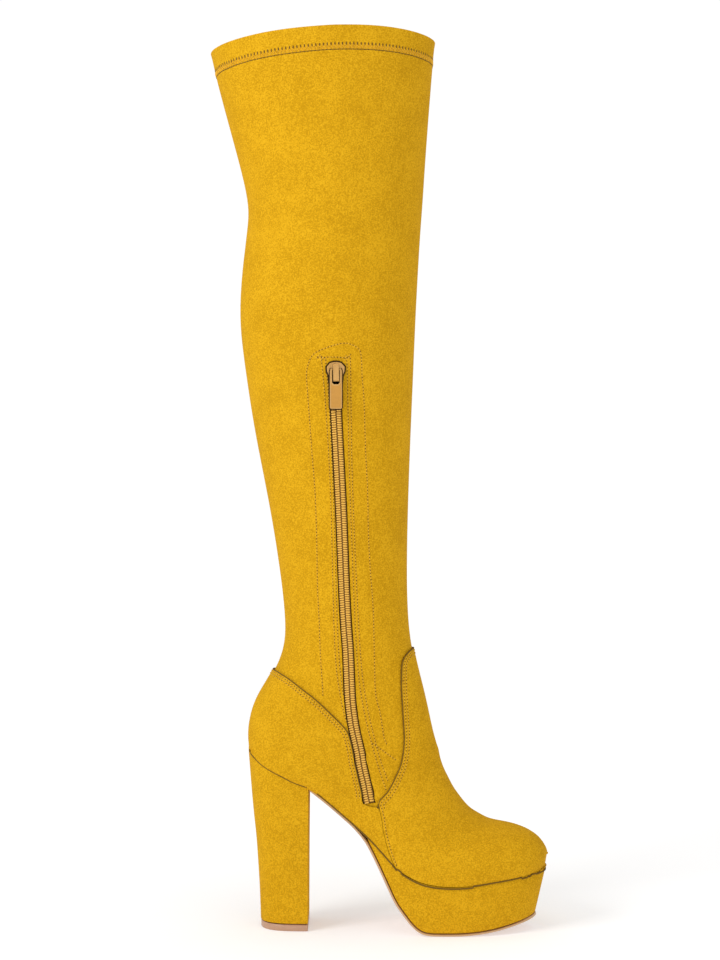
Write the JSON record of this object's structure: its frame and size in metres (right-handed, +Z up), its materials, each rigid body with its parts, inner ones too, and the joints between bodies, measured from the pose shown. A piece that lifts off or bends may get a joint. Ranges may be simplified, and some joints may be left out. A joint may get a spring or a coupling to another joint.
{
  "type": "thigh high boot",
  "caption": "Thigh high platform boot for the left foot: stretch suede-look shaft, inner side zip, covered block heel.",
  "frame": {"origin": "middle of the heel tip's base on the floor", "axes": "+X towards the toe, +Y to the outer side of the leg, +Z up the shaft"},
  "size_m": [0.2463, 0.1131, 0.6501],
  "materials": {
    "suede": "matt napped faux suede, mustard yellow",
    "board": "plain insole board, covered",
    "sole": "thin smooth tan outsole",
    "tip": "smooth dusty pink-tan heel tip",
    "tape": "woven zip tape",
    "chain": "tan-gold zip teeth",
    "slider": "tan-gold painted metal"
  },
  "bodies": {
    "boot": {"upper": "suede", "vamp": "suede", "counter": "suede", "insole": "board", "platform": "suede", "outsole": "sole", "heel": "suede", "heel_tip": "tip", "zip_tape": "tape", "zip_chain": "chain", "zip_slider": "slider"},
    "zip_pull": {"zip_pull": "slider"}
  },
  "joints": [
    {"name": "zip_pull_hinge", "type": "hinge", "parent": "boot", "child": "zip_pull", "pos_m": [0.03817, -0.05279, 0.40403], "axis": [-0.998, -0.0626, 0], "range_deg": [0, 150]}
  ]
}
